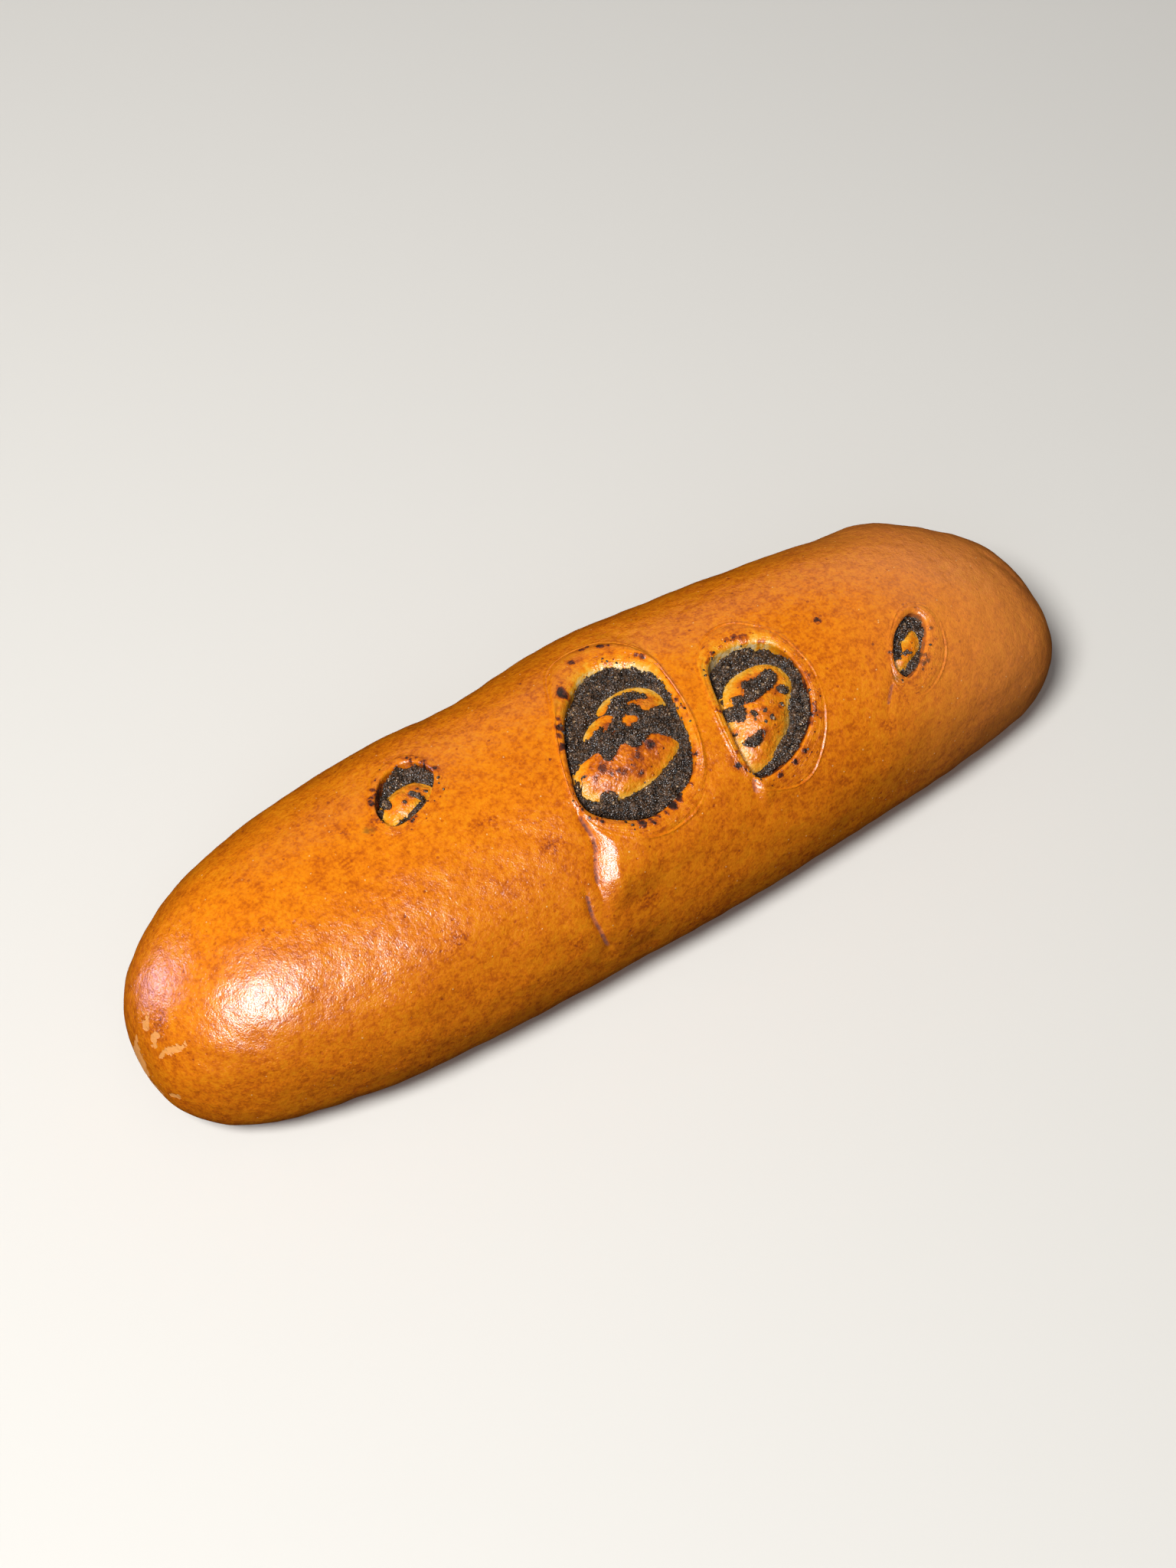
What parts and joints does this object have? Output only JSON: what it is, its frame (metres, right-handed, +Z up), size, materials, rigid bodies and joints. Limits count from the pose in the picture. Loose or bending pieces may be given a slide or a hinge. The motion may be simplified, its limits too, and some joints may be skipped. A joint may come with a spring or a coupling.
{
  "type": "poppy seed strudel",
  "caption": "Long baked poppy seed strudel with a glazed crust that has split open over dark filling and the inner turn of dough.",
  "frame": {"origin": "middle of the bounding box on the level of the flat base", "axes": "+X along the roll from its blunt left end to its slimmer right end, +Y towards its far side, +Z up"},
  "size_m": [0.27, 0.087, 0.0557],
  "materials": {
    "crust": "egg-glazed baked crust, golden orange-brown with fine dark freckles, glossy",
    "poppy_filling": "dark grey-brown paste of ground poppy seeds with whole seeds, moist",
    "inner_dough": "toasted yellow-orange dough with dark browned spots, satin"
  },
  "bodies": {
    "root": {"outer_dough": "crust", "poppy_filling": "poppy_filling", "inner_dough": "inner_dough"}
  },
  "joints": []
}
